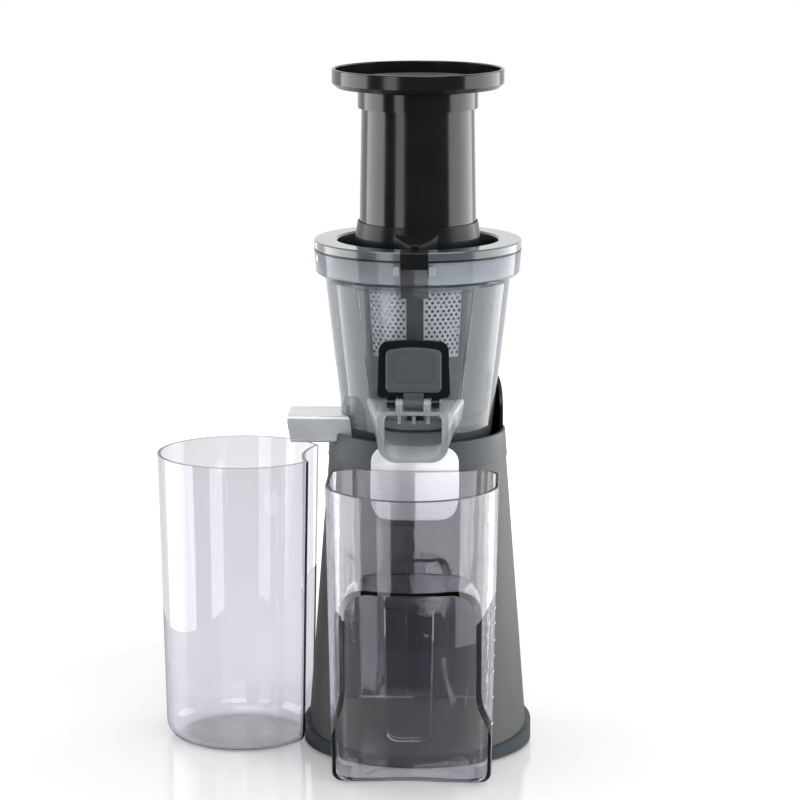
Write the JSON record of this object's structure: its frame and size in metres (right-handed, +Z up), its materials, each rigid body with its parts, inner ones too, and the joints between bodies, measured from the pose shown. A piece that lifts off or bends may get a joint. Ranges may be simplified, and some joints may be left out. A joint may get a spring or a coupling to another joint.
{
  "type": "cold press juicer",
  "caption": "Upright cold press juicer with feed tray and tube, clear bowl with strainer and auger, juice flap, pulp duct, juice jug and pulp container.",
  "frame": {"origin": "centre of the base on the surface it stands on, under the auger's axis", "axes": "+Z up along the auger's axis, -Y towards the juice spout and jug, -X towards the pulp duct and container"},
  "size_m": [0.2457, 0.2277, 0.4435],
  "materials": {
    "slate_plastic": "satin slate grey",
    "black_plastic": "satin black",
    "silver_plastic": "satin silver",
    "panel_metal": "satin silver",
    "chromed_plastic": "satin bright",
    "smoke_plastic": "clear, smoke tinted",
    "clear_plastic": "clear, faintly violet",
    "auger_plastic": "satin grey",
    "gear_plastic": "matt natural",
    "rubber": "matt",
    "stainless": "fine brushed",
    "bearing_steel": "ground",
    "electric_steel": "plain",
    "alloy": "as cast",
    "copper": "enamelled wire",
    "board": "solder mask"
  },
  "bodies": {
    "base": {"base_ring": "slate_plastic", "bottom_plate": "black_plastic", "rubber_feet": "rubber", "housing_shell": "silver_plastic", "collar_trim": "slate_plastic", "front_panel": "panel_metal", "rear_guard": "black_plastic", "drive_deck": "black_plastic", "deck_bearing": "bearing_steel", "shaft_seal": "rubber", "idler_pin": "stainless", "gearbox_case": "alloy", "gearbox_cover": "alloy", "cover_bearing": "bearing_steel", "motor_can": "electric_steel", "stator_stack": "electric_steel", "stator_coils": "copper", "motor_bearings": "bearing_steel", "motor_frame": "alloy", "motor_dampers": "rubber", "control_board": "board", "board_rails": "black_plastic", "switch_frame": "black_plastic", "cord_gland": "rubber"},
    "power_switch": {"switch_rocker": "black_plastic"},
    "rotor": {"motor_shaft": "stainless", "rotor_core": "electric_steel", "cooling_fan": "black_plastic"},
    "idler": {"idler_gear": "stainless"},
    "drive": {"output_gear": "gear_plastic", "drive_shaft": "stainless"},
    "bowl": {"bowl_shell": "smoke_plastic", "bowl_floor": "smoke_plastic", "juice_spout": "smoke_plastic", "hub_seal": "rubber", "outlet_connector": "black_plastic", "pulp_duct": "chromed_plastic", "flap_pin": "stainless", "strainer_sleeve": "stainless", "strainer_frame": "stainless", "strainer_foot": "stainless", "strainer_ribs": "black_plastic"},
    "auger": {"auger": "auger_plastic"},
    "juice_flap": {"flap_cover": "black_plastic", "flap_pad": "rubber", "flap_tongue": "rubber"},
    "lid": {"lid_cover": "black_plastic", "lid_ring": "slate_plastic", "feed_tube": "black_plastic"},
    "tray": {"feed_tray": "black_plastic"},
    "jug": {"juice_jug": "clear_plastic"},
    "pulp_container": {"pulp_container": "clear_plastic"}
  },
  "joints": [
    {"name": "power_switch", "type": "hinge", "parent": "base", "child": "power_switch", "pos_m": [0, 0.06581, 0.046], "axis": [1, 0, 0], "range_deg": [0, 20]},
    {"name": "drive_spin", "type": "hinge", "parent": "base", "child": "drive", "pos_m": [0, 0, 0.2], "axis": [0, 0, 1], "continuous": true},
    {"name": "idler_spin", "type": "hinge", "parent": "base", "child": "idler", "pos_m": [0, 0.026, 0.12], "axis": [0, 0, 1], "continuous": true},
    {"name": "rotor_spin", "type": "hinge", "parent": "base", "child": "rotor", "pos_m": [0, 0, 0.06], "axis": [0, 0, 1], "continuous": true},
    {"name": "bowl_lift", "type": "slide", "parent": "base", "child": "bowl", "axis": [0, 0, 1], "range_m": [0, 0.08]},
    {"name": "auger_spin", "type": "hinge", "parent": "bowl", "child": "auger", "pos_m": [0, 0, 0.25], "axis": [0, 0, 1], "continuous": true},
    {"name": "flap_hinge", "type": "hinge", "parent": "bowl", "child": "juice_flap", "pos_m": [0, -0.079, 0.24], "axis": [1, 0, 0], "range_deg": [0, 180]},
    {"name": "lid_lift", "type": "slide", "parent": "bowl", "child": "lid", "axis": [0, 0, 1], "range_m": [0, 0.06]},
    {"name": "tray_lift", "type": "slide", "parent": "lid", "child": "tray", "axis": [0, 0, 1], "range_m": [0, 0.06]},
    {"name": "jug_slide", "type": "slide", "parent": "base", "child": "jug", "axis": [0, -1, 0], "range_m": [0, 0.12]},
    {"name": "container_slide", "type": "slide", "parent": "base", "child": "pulp_container", "axis": [-1, 0, 0], "range_m": [0, 0.1]}
  ],
  "couplings": [
    {"joint": "drive_spin", "follows": "rotor_spin", "ratio": 0.067925},
    {"joint": "auger_spin", "follows": "rotor_spin", "ratio": 0.067925},
    {"joint": "idler_spin", "follows": "rotor_spin", "ratio": -0.22642}
  ]
}
